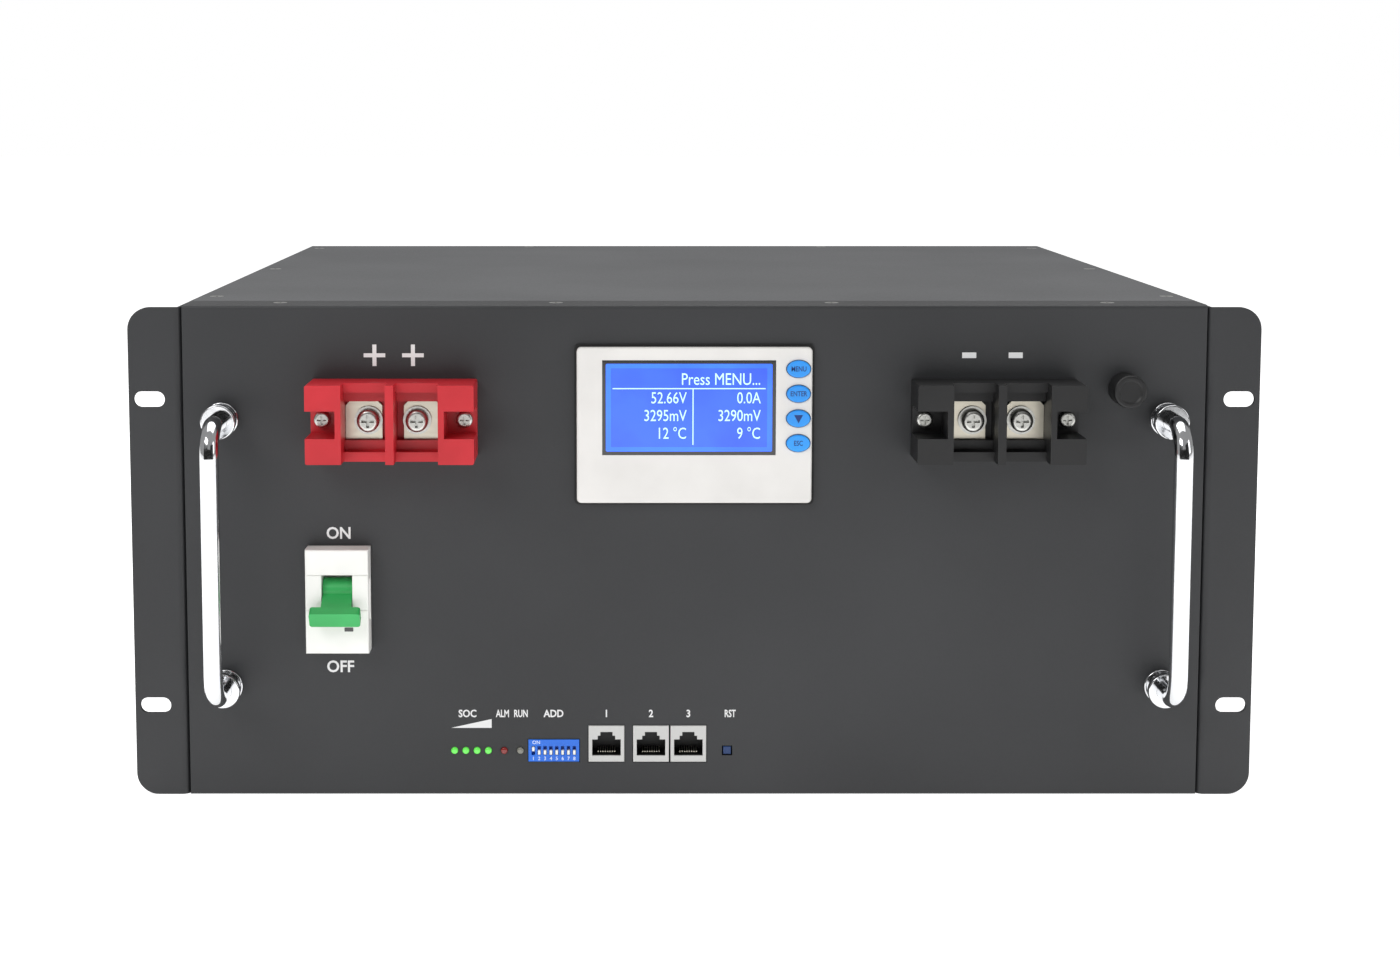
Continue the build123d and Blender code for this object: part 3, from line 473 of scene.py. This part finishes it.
class BATTERY_OT_breaker_detail(bpy.types.Operator):
    """Add the breaker's state window under its toggle"""
    bl_idname = "battery.breaker_detail"
    bl_label = "Breaker detail"

    def execute(self, context):
        dark = glazing("state window")
        tile("breaker_state_window", middle("breaker_housing").x + 5.0 * MM,
             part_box("breaker_housing")[0].y, 75.0 * MM, 3.8 * MM, 1.8 * MM,
             dark, corner=0.3 * MM)
        return {"FINISHED"}


def area_light(name, place, target, size, power):
    """A soft rectangular studio light that looks at a target; sizes in metres, power in watts."""
    lamp_data = bpy.data.lights.new(name, "AREA")
    lamp_data.shape = "RECTANGLE"
    lamp_data.size, lamp_data.size_y = size
    lamp_data.energy = power
    holder = bpy.data.objects.new(name, lamp_data)
    holder.location = place
    holder.rotation_euler = (Vector(target) - Vector(place)).to_track_quat("-Z", "Y").to_euler()
    bpy.context.scene.collection.objects.link(holder)


def dark_flag(name, place, size):
    """A black studio flag seen only in reflections; it darkens the polished parts slightly."""
    made, _, _ = material(name + " cloth", "050505", roughness=1.0)
    bm = bmesh.new()
    bmesh.ops.create_grid(bm, x_segments=1, y_segments=1, size=0.5)
    bmesh.ops.scale(bm, vec=(size[0], size[1], 1), verts=bm.verts)
    facing = (Vector((0, 0, 0.1)) - Vector(place)).to_track_quat("Z", "Y").to_matrix().to_4x4()
    bmesh.ops.transform(bm, matrix=Matrix.Translation(place) @ facing, verts=bm.verts)
    mesh = bpy.data.meshes.new(name)
    bm.to_mesh(mesh)
    bm.free()
    mesh.materials.append(made)
    flag = bpy.data.objects.new(name, mesh)
    bpy.context.scene.collection.objects.link(flag)
    flag.visible_camera = flag.visible_diffuse = flag.visible_shadow = False


class BATTERY_OT_stage(bpy.types.Operator):
    """Make the pale floor, the soft studio light and the camera"""
    bl_idname = "battery.stage"
    bl_label = "Stage"

    def execute(self, context):
        view = context.scene.battery_stage
        made, tree, shader = material("pale studio paper", "FFFFFF", roughness=0.9)
        noise = grain(tree, shader, 40.0, 0.0002, 0.1)
        rough_range(tree, shader, noise.outputs["Fac"], 0.85, 0.95)
        shader.inputs["Emission Color"].default_value = linear("FFFFFF")
        shader.inputs["Emission Strength"].default_value = FLOOR_GLOW
        bm = bmesh.new()
        bmesh.ops.create_grid(bm, x_segments=1, y_segments=1, size=12.0)
        mesh = bpy.data.meshes.new("floor")
        bm.to_mesh(mesh)
        bm.free()
        mesh.materials.append(made)
        floor = bpy.data.objects.new("floor", mesh)
        context.scene.collection.objects.link(floor)
        world = bpy.data.worlds.new("studio")
        world.use_nodes = True
        background = world.node_tree.nodes["Background"]
        background.inputs["Color"].default_value = linear("FFFFFF")
        seen = add_node(world.node_tree, "ShaderNodeLightPath").outputs["Is Camera Ray"]
        level = add_node(world.node_tree, "ShaderNodeMapRange", Value=seen,
                         **{"To Min": AMBIENT_LEVEL, "To Max": BACKDROP_LEVEL})
        world.node_tree.links.new(level.outputs["Result"], background.inputs["Strength"])
        context.scene.world = world
        area_light("key light", (-1.2, -1.6, 1.5), (0, 0, 0.1), (1.2, 1.0), 20.0)
        area_light("top light", (0.0, 0.3, 1.8), (0, 0, 0.1), (2.0, 1.6), 22.0)
        area_light("fill light", (1.6, -1.2, 0.8), (0, -0.1, 0.1), (1.0, 1.0), 8.0)
        dark_flag("front flag", (-0.03, -1.9, 0.3), (1.6, 1.0))
        dark_flag("left flag", (-0.8, -1.2, 0.25), (0.9, 1.4))
        dark_flag("right flag", (0.8, -1.2, 0.25), (0.9, 1.4))
        camera = bpy.data.cameras.new("camera")
        camera.sensor_width = 36.0
        camera.lens = view.lens
        camera.shift_x = 0.052
        camera.shift_y = -0.10
        camera.clip_start = 0.01
        holder = bpy.data.objects.new("camera", camera)
        holder.location = (view.eye_x, PANEL_Y - view.distance, view.eye_z)
        holder.rotation_euler = (math.pi / 2 - view.pitch, 0.0, 0.0)
        context.scene.collection.objects.link(holder)
        context.scene.camera = holder
        context.scene.view_settings.view_transform = "Standard"
        return {"FINISHED"}


class BATTERY_PT_panel(bpy.types.Panel):
    """Lists the steps that dress the battery"""
    bl_label = "Rack battery"
    bl_idname = "BATTERY_PT_panel"
    bl_space_type = "VIEW_3D"
    bl_region_type = "UI"
    bl_category = "Battery"

    def draw(self, context):
        for step in STEPS:
            self.layout.operator(step.bl_idname)
        for group in (context.scene.battery_markings, context.scene.battery_stage):
            for name in group.__annotations__:
                self.layout.prop(group, name)


STEPS = (BATTERY_OT_finishes, BATTERY_OT_panel_print, BATTERY_OT_display, BATTERY_OT_key_print,
         BATTERY_OT_switch_print, BATTERY_OT_breaker_detail, BATTERY_OT_stage)
CLASSES = (BatteryMarkings, BatteryStage) + STEPS + (BATTERY_PT_panel,)


def register():
    for cls in CLASSES:
        bpy.utils.register_class(cls)
    bpy.types.Scene.battery_markings = bpy.props.PointerProperty(type=BatteryMarkings)
    bpy.types.Scene.battery_stage = bpy.props.PointerProperty(type=BatteryStage)


def unregister():
    del bpy.types.Scene.battery_stage
    del bpy.types.Scene.battery_markings
    for cls in reversed(CLASSES):
        bpy.utils.unregister_class(cls)


def main():
    register()
    for step in STEPS:
        group, name = step.bl_idname.split(".")
        getattr(getattr(bpy.ops, group), name)()


if __name__ == "__main__":
    main()
